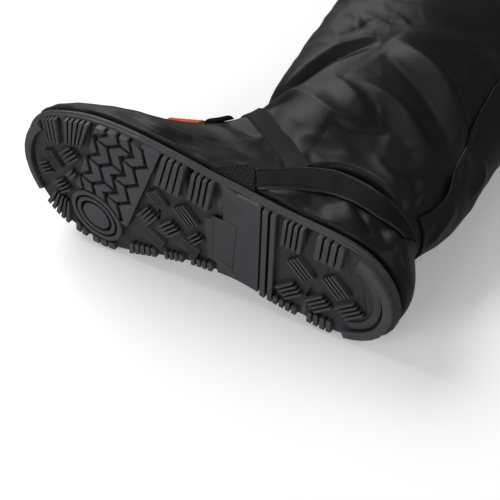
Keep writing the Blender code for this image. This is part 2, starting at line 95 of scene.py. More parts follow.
# painted shade: the upper part of the sole's side is darkened for the shadow under the cloth
SIDE_PAINTED_SHADE = (0.0095, 0.0098, 0.011, 1.0)
# painted shade: the colour of narrow slots and corners that ambient occlusion finds shut in
SLOT_PAINTED_SHADE = (0.004, 0.0041, 0.0046, 1.0)
SLOT_WIDE = 0.004
#     painted shade of the tread's base and of the side: name, height at which each starts, spread
TONES = [
    ("tread_depth", 0.6, 3.0),
    ("side_rise", 7.0, 3.0),
]
SPRING_RISE = 6.0
SPRING_FROM = 254.0
TOE_TIP = 308.0


def finish_of(name, colour, roughness, gloss):
    """A material with its node tree and its shader."""
    made = bpy.data.materials.new(name)
    made.use_nodes = True
    tree = made.node_tree
    shader = tree.nodes["Principled BSDF"]
    shader.inputs["Base Color"].default_value = colour
    shader.inputs["Roughness"].default_value = roughness
    shader.inputs["Specular IOR Level"].default_value = gloss
    return made, tree, shader


def grain(tree, size, detail):
    """A noise of grains this large, in metres."""
    place = tree.nodes.new("ShaderNodeTexCoord")
    made = tree.nodes.new("ShaderNodeTexNoise")
    made.inputs["Scale"].default_value = 1.0 / size
    made.inputs["Detail"].default_value = detail
    tree.links.new(place.outputs["Object"], made.inputs["Vector"])
    return made.outputs["Fac"]


def ramp(tree, value, low, high, start=0.3, end=0.7):
    """Spreads a value between two levels."""
    made = tree.nodes.new("ShaderNodeMapRange")
    made.inputs["From Min"].default_value = start
    made.inputs["From Max"].default_value = end
    made.inputs["To Min"].default_value = low
    made.inputs["To Max"].default_value = high
    tree.links.new(value, made.inputs["Value"])
    return made.outputs["Result"]


def tint(tree, value, dark, light):
    """A colour between two, by a value."""
    made = tree.nodes.new("ShaderNodeMix")
    made.data_type = "RGBA"
    made.inputs["A"].default_value = dark
    made.inputs["B"].default_value = light
    tree.links.new(value, made.inputs["Factor"])
    return made.outputs["Result"]


def relief(tree, shader, value, height):
    """Raises the surface by a value, up to a height in metres, over any relief that it has."""
    made = tree.nodes.new("ShaderNodeBump")
    made.inputs["Distance"].default_value = height
    made.inputs["Strength"].default_value = 1.0
    if shader.inputs["Normal"].is_linked:
        tree.links.new(shader.inputs["Normal"].links[0].from_socket, made.inputs["Normal"])
    tree.links.new(value, made.inputs["Height"])
    tree.links.new(made.outputs["Normal"], shader.inputs["Normal"])


def over_to(tree, attribute, colour, other):
    """A colour that goes over to another one by a value that the mesh holds."""
    value = tree.nodes.new("ShaderNodeAttribute")
    value.attribute_name = attribute
    made = tree.nodes.new("ShaderNodeMix")
    made.data_type = "RGBA"
    tree.links.new(value.outputs["Fac"], made.inputs["Factor"])
    tree.links.new(colour, made.inputs["A"])
    made.inputs["B"].default_value = other
    return made.outputs["Result"]


def rubber():
    made, tree, shader = finish_of("moulded_rubber", RUBBER_COLOUR, roughness=0.55, gloss=0.45)
    cloudy = grain(tree, size=0.014, detail=5.0)
    tones = tint(tree, cloudy, RUBBER_DULL, RUBBER_BRIGHT)
    # painted shade: the tread's base goes over to a darker colour between the lugs
    tones = over_to(tree, "tread_depth", tones, TREAD_BASE_PAINTED_SHADE)
    # painted shade: the side goes over to a darker colour for the shadow under the cloth
    tones = over_to(tree, "side_rise", tones, SIDE_PAINTED_SHADE)
    # painted shade: ambient occlusion darkens the colour in the narrow slots and corners
    cavity = tree.nodes.new("ShaderNodeAmbientOcclusion")
    cavity.samples = 8
    cavity.inputs["Distance"].default_value = SLOT_WIDE
    painted_slot_shade = tree.nodes.new("ShaderNodeMix")
    painted_slot_shade.data_type = "RGBA"
    painted_slot_shade.inputs["A"].default_value = SLOT_PAINTED_SHADE
    unshaded = ramp(tree, cavity.outputs["AO"], low=0.0, high=1.0, start=0.42, end=0.82)
    tree.links.new(unshaded, painted_slot_shade.inputs["Factor"])
    tree.links.new(tones, painted_slot_shade.inputs["B"])
    tree.links.new(painted_slot_shade.outputs["Result"], shader.inputs["Base Color"])
    tree.links.new(ramp(tree, cloudy, low=0.44, high=0.62), shader.inputs["Roughness"])
    relief(tree, shader, grain(tree, size=0.0007, detail=2.0), height=0.00006)
    relief(tree, shader, grain(tree, size=0.005, detail=3.0), height=0.00012)
    return made


def rounded_copy(node, name, material):
    """A node's own shape with its sharp edges rounded, and with the values that place its painted shade."""
    bm = bmesh.new()
    bm.from_mesh(frame["nodes"][node].data)
    bmesh.ops.remove_doubles(bm, verts=bm.verts, dist=WELD)
    bmesh.ops.dissolve_degenerate(bm, dist=WELD, edges=bm.edges)
    mesh = bpy.data.meshes.new(name)
    bm.to_mesh(mesh)
    bm.free()
    mesh.materials.clear()
    mesh.materials.append(material)
    spots = drawn([v.co for v in mesh.vertices])
    toward_tip = np.clip((spots[:, 0] - SPRING_FROM) / (TOE_TIP - SPRING_FROM), 0.0, None)
    rise = spots[:, 2] - SPRING_RISE * toward_tip**2
    for tone, start, spread in TONES:
        share = np.clip((rise - start) / spread, 0.0, 1.0).astype(np.float32)
        mesh.attributes.new(tone, "FLOAT", "POINT").data.foreach_set("value", share)
    made = bpy.data.objects.new(name, mesh)
    bpy.context.scene.collection.objects.link(made)
    bevel = made.modifiers.new("mould_round", "BEVEL")
    bevel.width = MOULD_ROUND
    bevel.segments = MOULD_STEPS
    bevel.limit_method = "ANGLE"
    bevel.angle_limit = SHARP_EDGE
    bevel.use_clamp_overlap = False
    bevel.harden_normals = True
    mesh.shade_smooth()
    mesh.set_sharp_from_angle(angle=SHARP_EDGE)
    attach(made, "root")
    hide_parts(node)


rubber_finish = rubber()
rounded_copy("outsole", "rubber_outsole", rubber_finish)

# The waist carries a bare field between thin raised lines of rubber, which are moulded in one
# with the sole.
FIELD = [(140.5, 14.5), (122.0, 16.5), (128.0, -29.0), (143.5, -25.0)]
FIELD_LINE = 0.9
FIELD_RISE = 0.6
FIELD_ROOT = 0.4
CORNER_REACH = 1.4
WAIST_HEIGHT = 1.75


def new_piece(name, points, faces, material, slot):
    """A smooth mesh from points of the drawing, which rides on the shoe."""
    mesh = bpy.data.meshes.new(name)
    mesh.from_pydata(placed(points).tolist(), [], faces)
    bm = bmesh.new()
    bm.from_mesh(mesh)
    bmesh.ops.recalc_face_normals(bm, faces=bm.faces)
    bm.to_mesh(mesh)
    bm.free()
    mesh.shade_smooth()
    made = bpy.data.objects.new(name, mesh)
    bpy.context.scene.collection.objects.link(made)
    mesh.materials.append(material)
    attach(made, "root")
    return made


def moulded_lines(corners, half_wide, top, root):
    """A closed line of bevelled rubber round the corners of a field."""
    corners = np.array(corners, float)
    away = corners - corners.mean(axis=0)
    away /= np.linalg.norm(away, axis=1, keepdims=True)
    ridge = 0.5 * half_wide
    rings = []
    for outset, height in ((half_wide, root), (ridge, top), (-ridge, top), (-half_wide, root)):
        plan = corners + CORNER_REACH * outset * away
        rings.append(np.column_stack([plan, np.full(len(plan), height)]))
    points = np.concatenate(rings)
    count = len(corners)
    faces = []
    for ring in range(len(rings)):
        after = (ring + 1) % len(rings)
        for i in range(count):
            j = (i + 1) % count
            faces.append((ring * count + i, ring * count + j, after * count + j, after * count + i))
    return points, faces


field_points, field_faces = moulded_lines(
    FIELD, FIELD_LINE, top=WAIST_HEIGHT - FIELD_RISE, root=WAIST_HEIGHT + FIELD_ROOT
)
new_piece("waist_field_lines", field_points, field_faces, rubber_finish, "rubber")

# The upper is one layer of coated black nylon, foot and shaft together, glued into the sole.
# It is measured from the solid as rings about an upright line, softened, and then creased:
# each crease is a soft ridge (+) or trough (-) along a line on the cloth.
SPINE = (104.0, 5.0)
SPINE_CLEAR = 4.0
FAR = 400.0
COLUMNS = 288
SCAN_STEPS = 1081
BY_LENGTH = 0.6
BY_ANGLE = 0.4
OUTER_CLOSER = 0.4
FOOT_LEVEL = 21.0
FEATHER_HEIGHTS = np.arange(8.4, 20.0, 0.2)
FEATHER_IN = 0.2
FEATHER_ELSE = 16.0
FEATHER_SOFTENING = 6
FOOT_ROWS = np.arange(0.0, 24.0, 1.0)
FOLD_ROWS = np.arange(24.0, 206.0, 1.05)
SHAFT_ROWS = np.linspace(206.0, 369.0, 60)
COLLAR = 378.0
COLLAR_IN = 0.3
SOFTENING = 14
CLOTH = 1.5
LIP_STEPS = 7
INNER_EVERY = 5
FLOOR_CLEAR = 0.0003
HEM_DEEP = 22.0
HEM_OUT = 0.5
HEM_STEP = 1.2
HEM_CALM = 0.6
CREASES_FROM = 12.0
CREASES_OVER = 7.0
TUCK = 1.7
TUCK_AT = 1.0
TUCK_WIDE = 1.4
SOLE_ROLL = 0.8
SOLE_ROLL_AT = 5.0
SOLE_ROLL_WIDE = 2.4
PUCKER = 1.8
SLACK = 0.35
SLACK_STRETCH = [1.0, 1.0, 1.5]
FINE_SLACK = 0.12
FADE = 0.8
QUIET_EDGE = 4
SMALL_FOLDS = 1.1
SMALL_FOLDS_END = 4.0
FOLD_RUN = np.array([0.88, 0.0, 0.47])
FOLD_ASIDE = np.array([-0.47, 0.0, 0.88])
FOLD_LONG = 0.55
FOLD_NARROW = 1.25
FOLD_SHARP = 3.2
FOLD_SHARE = 0.35
FOLD_PATCHY = 1.4
NYLON_COLOUR = (0.0072, 0.0073, 0.0079, 1.0)
NYLON_DULL = (0.0060, 0.0061, 0.0067, 1.0)
NYLON_BRIGHT = (0.0086, 0.0087, 0.0094, 1.0)
node_mesh = frame["nodes"]["upper"].data
node_points = drawn([v.co for v in node_mesh.vertices])
node_faces = [tuple(p.vertices) for p in node_mesh.polygons]
upper_tree = BVHTree.FromPolygons(node_points.tolist(), node_faces)

#   name, height, width above and below it, roundness of its crest, points near the cloth
CREASES = [
    ("ankle trough", -8.5, 2.8, 3.4, 2.8,
     [(167, 4, 106), (164, 20, 107), (160, 30, 112), (155, 35, 121), (150, 39, 133), (141, 44, 145),
      (131, 48, 154), (120, 50, 161)]),
    ("roll over the ankle", 2.8, 16.0, 4.0, 2.6,
     [(167, 4, 114), (165, 20, 115), (161, 31, 121), (156, 37, 131), (150, 41, 142), (140, 46, 154),
      (128, 50, 163), (112, 52, 170), (96, 52, 176), (82, 51, 182)]),
    ("upper roll", 3.5, 18.0, 6.0, 2.0,
     [(124, 50, 175), (104, 51, 181), (85, 51, 187), (64, 46, 197), (44, 36, 212), (32, 22, 224)]),
    ("upper trough", -3.0, 8.0, 12.0, 2.0,
     [(143, 46, 166), (137, 48, 178), (118, 52, 185), (92, 52, 193), (62, 45, 206)]),
    ("upper nick", -2.5, 3.0, 4.0, 1.2, [(150, 40, 158), (143, 46, 168), (137, 48, 179)]),
    ("high roll", 3.0, 12.0, 14.0, 4.0, [(150, 38, 186), (130, 50, 198), (100, 53, 206), (70, 49, 217)]),
    ("instep nick", -4.5, 2.6, 4.0, 1.4, [(168, 10, 93), (163, 24, 93), (155, 31, 97), (143, 38, 99)]),
    ("instep roll", 3.5, 4.5, 9.0, 1.2,
     [(166, 20, 104), (155, 31, 106), (136, 41, 102), (113, 45, 95), (95, 46, 95), (78, 46, 99)]),
    ("pocket under it", -3.0, 3.0, 7.0, 1.5, [(112, 45, 89), (98, 45, 88), (84, 45, 93), (72, 45, 98)]),
    ("light roll over the elastic", 2.2, 9.0, 7.0, 3.0,
     [(150, 33, 84), (136, 38, 82), (122, 40, 80), (108, 41, 80)]),
    ("front facet", 4.2, 2.8, 15.0, 1.4,
     [(138, 44, 124), (121, 46, 118.5), (104, 48, 111.5), (85, 47, 102)]),
    ("mid roll", 5.2, 3.4, 8.0, 1.5,
     [(122, 47, 127), (107, 49, 125), (92, 49, 122.7), (76, 47.5, 119), (63, 44.5, 112), (51, 41, 105.5),
      (43, 38, 98), (36, 35, 85)]),
    ("under the mid roll", -2.6, 4.0, 9.0, 2.0,
     [(104, 48, 113), (88, 47, 110), (72, 46, 105), (59, 43, 99), (47, 39, 90)]),
    ("great roll", 11.0, 5.0, 14.0, 1.6,
     [(114, 51, 167), (102, 51, 164), (91, 51, 161), (78, 49.5, 157), (64, 46.5, 150), (51, 41.5, 140),
      (38, 35, 128), (29, 29, 115), (24, 27, 102)]),
    ("under the great roll", -5.0, 3.4, 9.0, 1.7,
     [(112, 50, 153), (98, 50.8, 148), (83, 49, 142), (68, 46, 136), (54, 42, 127), (42, 36.6, 118),
      (35, 33, 106)]),
    ("roll over the strap", 2.4, 5.0, 7.0, 2.0, [(124, 36, 70), (112, 39, 75), (97, 40, 77), (80, 41, 72)]),
    ("first gather", 2.6, 4.0, 4.0, 1.2, [(72, 41, 83), (62, 41, 75), (51, 41, 70), (41, 40, 64)]),
    ("second gather", 2.4, 3.0, 4.0, 1.2, [(46, 41, 78), (41, 40, 70), (36, 36, 64), (30, 31, 58)]),
    ("third gather", 2.2, 3.0, 3.0, 1.2, [(37, 38, 82), (33, 34, 72), (30, 29, 62)]),
    ("between the gathers", -2.4, 3.0, 3.0, 1.2, [(44, 41, 84), (38, 38, 74), (32, 33, 63)]),
    ("slot behind the strap", -8.0, 2.2, 2.0, 1.4,
     [(104, 43, 49.5), (94, 43, 55), (84, 43, 58.6), (72, 43, 59.6), (58, 42, 58), (46, 40, 55.6),
      (36, 36, 54.6)]),
    ("ridge behind the strap", 3.6, 6.0, 2.2, 1.3,
     [(104, 41, 57), (92, 42, 62), (80, 42, 65), (68, 42, 65.4), (55, 41, 63), (43, 38, 60), (34, 33, 58)]),
    ("flap seam", -2.0, 2.6, 2.6, 1.6,
     [(29, 29, 62), (25, 27, 74), (24, 29, 88), (25, 32, 106), (28, 35.5, 140), (31, 38.5, 178),
      (34, 41, 280), (36, 42, 368)]),
    ("upper flap pleat", 2.6, 5.0, 3.0, 1.5, [(24, 20, 132), (20, 12, 124), (18, 14, 104)]),
    ("lower flap pleat", 2.8, 4.0, 3.0, 1.5, [(20, 18, 92), (19, 15, 84), (22, 6, 74), (26, -2, 66)]),
    ("middle flap pleat", -2.2, 4.0, 4.0, 1.5, [(20, 22, 112), (19, 8, 98), (21, -6, 88)]),
    ("heel slack", 6.0, 2.4, 8.0, 1.3, [(66, 46, 32), (58, 47, 29), (48, 48, 25), (38, 47, 22)]),
    ("heel fold", -5.0, 3.0, 2.4, 1.3, [(58, 46, 35), (50, 48, 30), (41, 48, 24), (34, 46, 19)]),
    ("heel pleat", 5.0, 2.6, 4.0, 1.3, [(31, 42, 34), (24, 40, 28), (16, 36, 22)]),
    ("heel seam", -3.6, 2.0, 2.2, 1.3, [(25, 33, 38), (19, 35, 30), (12, 33, 22)]),
    ("heel nick", -3.6, 2.4, 3.0, 1.3, [(40, 45, 34), (31, 45, 26), (24, 43, 19)]),
    ("waist slack", 3.4, 3.0, 5.0, 1.3, [(116, 46, 13), (98, 47, 16), (82, 48, 24)]),
    ("vamp roll", 2.4, 5.0, 6.0, 1.6,
     [(182, 22, 58), (166, 31, 51), (150, 36, 46), (130, 39, 43), (114, 41, 42)]),
    ("vamp trough", -2.2, 4.0, 6.0, 1.6, [(186, 15, 68), (172, 26, 62), (160, 31, 59), (146, 35, 55)]),
    ("long vamp crease", -3.0, 2.6, 5.0, 1.5,
     [(228, 45, 19), (214, 47, 18), (198, 48, 16), (184, 48, 18), (168, 47, 24), (150, 46, 26),
      (132, 47, 25)]),
    ("roll over the long crease", 2.4, 7.0, 3.0, 1.5,
     [(226, 43, 25), (206, 45, 24), (188, 46, 24), (172, 45, 29), (154, 44, 31), (134, 45, 30)]),
    ("upper vamp crease", -2.6, 2.6, 5.0, 1.5,
     [(208, 42, 30), (186, 44, 29), (171, 43, 32), (160, 41, 36), (146, 40, 38), (132, 40, 40)]),
    ("toe slack", 1.2, 8.0, 9.0, 3.0, [(262, 20, 34), (240, 30, 28), (214, 36, 24)]),
    ("inner ankle trough", -4.0, 4.0, 8.0, 2.0,
     [(167, 4, 106), (163, -16, 106), (148, -32, 118), (126, -40, 134), (100, -42, 142)]),
    ("inner ankle roll", 3.5, 12.0, 5.0, 3.0,
     [(163, -12, 116), (148, -32, 134), (122, -41, 148), (92, -43, 156)]),
    ("inner shaft roll", 3.0, 12.0, 8.0, 3.0,
     [(110, -43, 122), (84, -43, 126), (56, -36, 118), (36, -24, 98)]),
    ("inner heel gather", 2.2, 5.0, 5.0, 2.0, [(70, -38, 76), (50, -36, 70), (33, -24, 62)]),
    ("inner vamp roll", 2.0, 6.0, 7.0, 2.0, [(186, -20, 60), (164, -30, 50), (136, -36, 44)]),
    ("outer shaft hang", 3.2, 9.0, 14.0, 4.0,
     [(150, 34, 216), (132, 48, 242), (114, 54, 280), (104, 56, 326)]),
    ("rear shaft hang", 3.0, 12.0, 8.0, 4.0, [(44, 34, 232), (62, 47, 258), (74, 52, 298), (80, 54, 344)]),
    ("shaft hollow", -3.0, 9.0, 9.0, 4.0, [(98, 54, 222), (92, 54, 252), (93, 55, 296), (92, 55, 342)]),
    ("cross sag", 2.6, 10.0, 5.0, 3.0,
     [(156, 24, 244), (134, 46, 236), (104, 54, 240), (72, 50, 252), (46, 36, 268)]),
    ("under the cross sag", -2.2, 4.0, 9.0, 3.0,
     [(154, 26, 232), (130, 47, 227), (104, 54, 231), (74, 50, 243)]),
    ("upper sag", 2.4, 9.0, 5.0, 3.0,
     [(158, 20, 296), (134, 48, 284), (106, 56, 288), (76, 53, 302), (48, 38, 322)]),
    ("front shaft hang", 3.0, 9.0, 12.0, 4.0, [(160, 6, 204), (161, 14, 244), (164, 8, 310)]),
    ("front sag", 2.6, 8.0, 5.0, 3.0, [(148, 40, 262), (164, 14, 256), (164, -10, 262), (146, -34, 276)]),
    ("inner shaft hang", 2.8, 12.0, 9.0, 4.0, [(140, -36, 202), (120, -46, 242), (110, -50, 306)]),
    ("inner sag", 2.4, 8.0, 6.0, 3.0, [(150, -30, 222), (116, -46, 214), (78, -46, 226), (46, -32, 240)]),
    ("back sag", 2.4, 8.0, 6.0, 3.0, [(44, 36, 300), (34, 20, 290), (32, -4, 286), (40, -26, 296)]),
    ("lower back sag", 2.4, 8.0, 6.0, 3.0, [(36, 32, 190), (28, 16, 182), (27, -4, 180), (34, -24, 190)]),
]
#   where the cloth stands fuller (+) or flatter (-): name, height, spread, points near the cloth
FULL = [
    ("toe crown", -1.4, 20.0, [(276, 10, 30), (258, 22, 34), (240, 30, 36)]),
    ("vamp crown", 3.4, 17.0, [(228, 16, 52), (210, 22, 57), (194, 24, 61), (178, 24, 66), (166, 22, 74)]),
]
#   where a sewn-on piece holds the cloth flat: name, width, points near the cloth
QUIET = [
    ("heel strap", 8.5,
     [(117, 46, 19), (103, 47, 33), (90, 46, 40), (76, 45, 45), (52, 43, 45), (30, 32, 45)]),
    ("instep elastic", 6.5, [(104, 40, 46), (128, 38, 60), (152, 32, 74), (172, 20, 86), (186, 2, 94)]),
    ("inner end of the elastic", 6.5,
     [(186, 0, 94), (172, -16, 86), (152, -27, 74), (128, -33, 60), (104, -36, 46)]),
    ("vamp panel", 11.0, [(195, 33, 42), (205, 18, 60), (207, 0, 67), (208, -24, 64)]),
    ("vamp tab", 8.0, [(180, 27, 60), (183, 17, 68)]),
]


def cast_in(angle, height):
    """Where the solid's outer face lies at this bearing and height, or None."""
    out = Vector((math.cos(angle), math.sin(angle), 0.0))
    start = Vector((SPINE[0], SPINE[1], height)) + FAR * out
    return upper_tree.ray_cast(start, -out, FAR - SPINE_CLEAR)[0]


def run_along(line):
    """How far along a line each of its points lies."""
    return np.concatenate([[0.0], np.cumsum(np.linalg.norm(np.diff(line, axis=0), axis=1))])


def bearings():
    """Bearings of the columns, closer together at the toe and on the outer side."""
    scan = np.linspace(0.0, 2 * math.pi, SCAN_STEPS)
    run = run_along(np.array([cast_in(angle, FOOT_LEVEL) for angle in scan]))
    share = BY_LENGTH * run / run[-1] + BY_ANGLE * scan / scan[-1]
    denser = np.gradient(share) * (1.0 + OUTER_CLOSER * np.sin(scan))
    share = np.cumsum(denser) - denser[0]
    share /= share[-1]
    return np.interp(np.arange(COLUMNS) / COLUMNS, share, scan)


def feather(angle):
    """The height of the cloth's lower edge at this bearing."""
    for height in FEATHER_HEIGHTS:
        if cast_in(angle, height) is not None:
            return height + FEATHER_IN
    return FEATHER_ELSE


def softened(grid, passes):
    """The grid with its facets smoothed out. Its first and last rows keep their height."""
    for _ in range(passes):
        grid = (np.roll(grid, 1, axis=1) + 2 * grid + np.roll(grid, -1, axis=1)) / 4
        grid[1:-1] = (grid[:-2] + 2 * grid[1:-1] + grid[2:]) / 4
    return grid


def outward(grid):
    """Unit normals of a grid whose rows are closed rings, pointing out."""
    around = np.roll(grid, -1, axis=1) - np.roll(grid, 1, axis=1)
    up = np.gradient(grid, axis=0)
    made = np.cross(around, up)
    return made / np.linalg.norm(made, axis=2, keepdims=True)


def tube_faces(rows, columns):
    """Faces of closed rings, joined row to row."""
    faces = []
    for row in range(rows - 1):
        low = row * columns
        high = low + columns
        for i in range(columns):
            j = (i + 1) % columns
            faces.append((low + i, low + j, high + j, high + i))
    return faces


def through(points, steps=14):
    """A smooth line through the points, with this many steps between each two."""
    points = np.asarray(points, float)
    padded = np.vstack([2 * points[0] - points[1], points, 2 * points[-1] - points[-2]])
    line = []
    for before, here, after, later in zip(padded, padded[1:], padded[2:], padded[3:]):
        for s in np.arange(steps) / steps:
            line.append(0.5 * (
                2 * here
                + (after - before) * s
                + (2 * before - 5 * here + 4 * after - later) * s**2
                + (3 * here - before - 3 * after + later) * s**3
            ))
    line.append(points[-1])
    return np.array(line)


def on_cloth(points):
    """A smooth line through the points, laid on the cloth."""
    return np.array([cloth_tree.find_nearest(Vector(p))[0] for p in through(points)])


def line_distance(points, line):
    """Distance of each point from a line, and the index of the line's nearest point."""
    beyond = 1e3
    reach = 60.0
    slide_most = 0.6
    batch = 8000
    away = np.full(len(points), beyond)
    index = np.zeros(len(points), int)
    near = ((points > line.min(axis=0) - reach) & (points < line.max(axis=0) + reach)).all(axis=1)
    step = np.gradient(line, axis=0)
    pace = np.linalg.norm(step, axis=1)
    for part in np.array_split(np.flatnonzero(near), 1 + near.sum() // batch):
        gaps = np.linalg.norm(points[part][:, None, :] - line[None, :, :], axis=2)
        index[part] = gaps.argmin(axis=1)
        place = index[part]
        slide = ((points[part] - line[place]) * step[place]).sum(axis=1) / pace[place]
        slide = np.clip(slide, -slide_most * pace[place], slide_most * pace[place])
        away[part] = np.sqrt(np.maximum(gaps.min(axis=1) ** 2 - slide**2, 0.0))
    return away, index


def bell(value, middle, spread):
    """1 at the middle, and round down to 0 on both sides."""
    return np.exp(-(((value - middle) / spread) ** 2))


def crinkle(points, size, seed):
    """Smooth random waves of about this size, from -1 to 1."""
    offset = Vector((seed, 2.0 * seed, 3.0 * seed))
    return np.array([noise.noise(Vector(p) / size + offset) for p in points])


def small_folds(points):
    """Short sharp folds of the slack cloth, most of them along the great roll, from 0 to 1."""
    along = points @ FOLD_RUN
    aside = points @ FOLD_ASIDE
    laid = np.stack([FOLD_LONG * along, points[:, 1], FOLD_NARROW * aside], axis=1)
    crest = np.clip(1.0 - FOLD_SHARP * abs(crinkle(laid, size=17.0, seed=5.0)), 0.0, 1.0)
    patches = FOLD_SHARE + FOLD_PATCHY * crinkle(points, size=42.0, seed=12.0)
    return crest * np.clip(patches, 0.0, 1.0)


def crease_height(points):
    """How far the creases raise the cloth at these points of the drawing."""
    total = np.zeros(len(points))
    for _, height, above, below, crest, marks in CREASES:
        line = on_cloth(marks)
        facing = np.array([cloth_tree.find_nearest(Vector(p))[1] for p in line])
        left = np.cross(facing, np.gradient(line, axis=0))
        away, index = line_distance(points, line)
        over = ((points - line[index]) * left[index]).sum(axis=1) > 0.0
        fall = (np.sqrt(away**2 + crest**2) - crest) / np.where(over, above, below)
        fade = np.sin(math.pi * index / (len(line) - 1)).clip(0.0) ** FADE
        total += height * fade * np.exp(-fall)
    calm = np.clip(1.0 - abs(total) / SMALL_FOLDS_END, 0.0, 1.0)
    total += SMALL_FOLDS * small_folds(points) * calm
    for _, width, marks in QUIET:
        away, _ = line_distance(points, on_cloth(marks))
        total *= 1.0 - np.exp(-((away / width) ** QUIET_EDGE))
    return total


angles = bearings()
edge_heights = np.array([feather(angle) for angle in angles])
lows = softened(edge_heights[None, :], FEATHER_SOFTENING)[0]
levels = np.concatenate([FOOT_ROWS, FOLD_ROWS, SHAFT_ROWS])
rings = np.zeros((len(levels), COLUMNS, 3))
for column, angle in enumerate(angles):
    last = None
    for row, level in enumerate(levels):
        height = lows[column] + level * (COLLAR - COLLAR_IN - lows[column]) / levels[-1]
        hit = cast_in(angle, height)
        last = np.array(hit) if hit is not None else np.array([last[0], last[1], height])
        rings[row, column] = last
smooth_rings = softened(rings, SOFTENING)
for _, height, spread, marks in FULL:
    away, _ = line_distance(smooth_rings.reshape(-1, 3), through(marks))
    bulge = height * bell(away, 0.0, spread)
    smooth_rings = smooth_rings + outward(smooth_rings) * bulge.reshape(len(levels), COLUMNS, 1)
face_out = outward(smooth_rings)
flat_points = smooth_rings.reshape(-1, 3)
cloth_tree = BVHTree.FromPolygons(flat_points.tolist(), tube_faces(len(levels), COLUMNS))
lift = crease_height(flat_points)
slack = SLACK * crinkle(flat_points * SLACK_STRETCH, size=26.0, seed=3.0)
lift += slack + FINE_SLACK * crinkle(flat_points, size=9.0, seed=9.0)
hem = np.clip((flat_points[:, 2] - (COLLAR - HEM_DEEP)) / HEM_STEP, 0.0, 1.0)
lift = lift * (1.0 - HEM_CALM * hem) + HEM_OUT * hem
lift *= np.clip((flat_points[:, 2] - CREASES_FROM) / CREASES_OVER, 0.0, 1.0)
above_sole = flat_points[:, 2] - np.tile(lows, len(levels))
lift -= TUCK * bell(above_sole, TUCK_AT, TUCK_WIDE)
pucker = 1.0 + PUCKER * crinkle(flat_points, size=13.0, seed=21.0)
lift += SOLE_ROLL * pucker * bell(above_sole, SOLE_ROLL_AT, SOLE_ROLL_WIDE)
outer = smooth_rings + face_out * lift.reshape(len(levels), COLUMNS, 1)
outer = softened(outer, 1)


def off_the_floor(points):
    """The same points, none lower than the floor that the shoe lies on."""
    places = placed(points)
    places[:, 2] = np.maximum(places[:, 2], FLOOR_CLEAR)
    return drawn(places)


def closed_wall(outer):
    """The cloth's outer face, its turned collar edge and its inner face, as one closed wall."""
    out = outward(outer)
    lip = []
    for turn_by in np.linspace(0.0, math.pi, LIP_STEPS)[1:-1]:
        inward = CLOTH * 0.5 * (1.0 - math.cos(turn_by))
        rise = CLOTH * 0.5 * math.sin(turn_by)
        lip.append(outer[-1] - out[-1] * inward + [0.0, 0.0, rise])
    inner = (outer - CLOTH * out)[::-INNER_EVERY]
    rows = np.concatenate([outer, np.array(lip), inner])
    faces = tube_faces(len(rows), COLUMNS)
    last = (len(rows) - 1) * COLUMNS
    for i in range(COLUMNS):
        j = (i + 1) % COLUMNS
        faces.append((last + i, last + j, j, i))
    return rows.reshape(-1, 3), faces


def nylon():
    made, tree, shader = finish_of("coated_nylon", NYLON_COLOUR, roughness=0.43, gloss=0.19)
    slack = grain(tree, size=0.03, detail=5.0)
    tree.links.new(tint(tree, slack, NYLON_DULL, NYLON_BRIGHT), shader.inputs["Base Color"])
    tree.links.new(ramp(tree, slack, low=0.38, high=0.46), shader.inputs["Roughness"])
    relief(tree, shader, grain(tree, size=0.022, detail=3.0), height=0.0002)
    relief(tree, shader, grain(tree, size=0.006, detail=3.0), height=0.0001)
    relief(tree, shader, grain(tree, size=0.0005, detail=1.0), height=0.00003)
    return made


nylon_finish = nylon()
wall_points, wall_faces = closed_wall(outer)
upper_piece = new_piece("nylon_upper", off_the_floor(wall_points), wall_faces, nylon_finish, "nylon")
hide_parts("upper")

# The heel strap is doubled nylon, sewn in at the back flap. It runs forwards round the heel,
# stands off the cloth along its upper edge, and closes on the hook patch with its square end.
# A rolled binding is sewn on along both of its long edges.
STRAP_UPPER = [
    (122.6, 24.5), (112.5, 36), (105, 45.5), (89, 53.4), (76, 55.6), (60, 54.4), (45, 52), (24, 52.5),
]
STRAP_LOWER = [
    (112, 13), (100.5, 19.3), (90, 26), (77, 34), (66, 36.4), (52, 36), (38, 35.4), (24, 39),
]
STRAP_STEPS = 18
STRAP_ACROSS = 41
STRAP_THICK = 1.5
STRAP_LIFT = 0.4
STRAP_EDGE_FROM = 0.93
STRAP_EDGE_WIDE = 0.07
STRAP_EDGE_LEAST = 0.3
STRAP_EDGE_ROUND = 0.7
STRAP_SEAM = 0.76
STRAP_SEAM_DEEP = 0.35
STRAP_SEAM_WIDE = 0.05
STRAP_STAND = 1.4
STAND_START = (0.25, 0.5)
STAND_END = (0.8, 0.97)
STAND_ACROSS = (-0.8, 1.0)
STRAP_WAVE = 0.12
WAVES_ALONG = 31.0
WAVES_ACROSS = 1.2
BINDING_ROUND = 0.95
BINDING_OUT = 0.5
BINDING_SIDES = 10
STRAP_COLOUR = (0.0062, 0.0063, 0.0068, 1.0)
BINDING_COLOUR = (0.011, 0.0112, 0.012, 1.0)
OUTER_SIDE = (0.0, 1.0, 0.0)
SIDE_FAR = 95.0


def side_cast(x, z):
    """The cloth's outer side at this place of the side view."""
    return np.array(cloth_tree.ray_cast(Vector((x, SIDE_FAR, z)), -Vector(OUTER_SIDE))[0])


def grid_out(grid, toward):
    """Unit normals of an open grid, on the side that faces a direction."""
    made = np.cross(np.gradient(grid, axis=0), np.gradient(grid, axis=1))
    made /= np.linalg.norm(made, axis=2, keepdims=True)
    return made * np.sign((made * np.asarray(toward, float)).sum(axis=2).mean())


